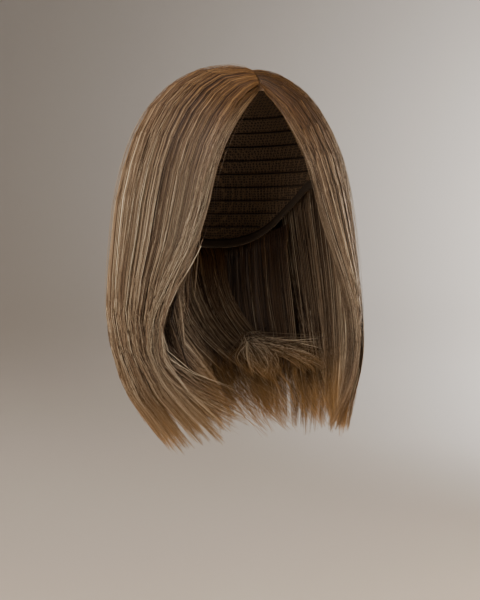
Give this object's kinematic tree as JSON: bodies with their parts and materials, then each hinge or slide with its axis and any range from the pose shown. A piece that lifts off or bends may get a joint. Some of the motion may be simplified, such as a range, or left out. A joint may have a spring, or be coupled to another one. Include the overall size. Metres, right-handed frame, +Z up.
{
  "type": "real hair wig",
  "caption": "Straight shoulder-length bob wig of brown hair with a parting on top, on a net cap with a sheer lace front, open at the face and neck.",
  "frame": {"origin": "inside the crown of the cap, the top of the hollow where the head bears", "axes": "+Z up, the face opening towards -Y, +X towards the wearer's left"},
  "size_m": [0.2395, 0.2086, 0.3619],
  "materials": {
    "net": "fine stretch net",
    "lace": "sheer skin-toned lace",
    "hair": "sleek straight hair in several browns"
  },
  "bodies": {
    "root": {"cap": "net", "lace_front": "lace", "hair_right": "hair", "hair_left": "hair", "hair_back": "hair", "hair_nape": "hair"}
  },
  "joints": []
}
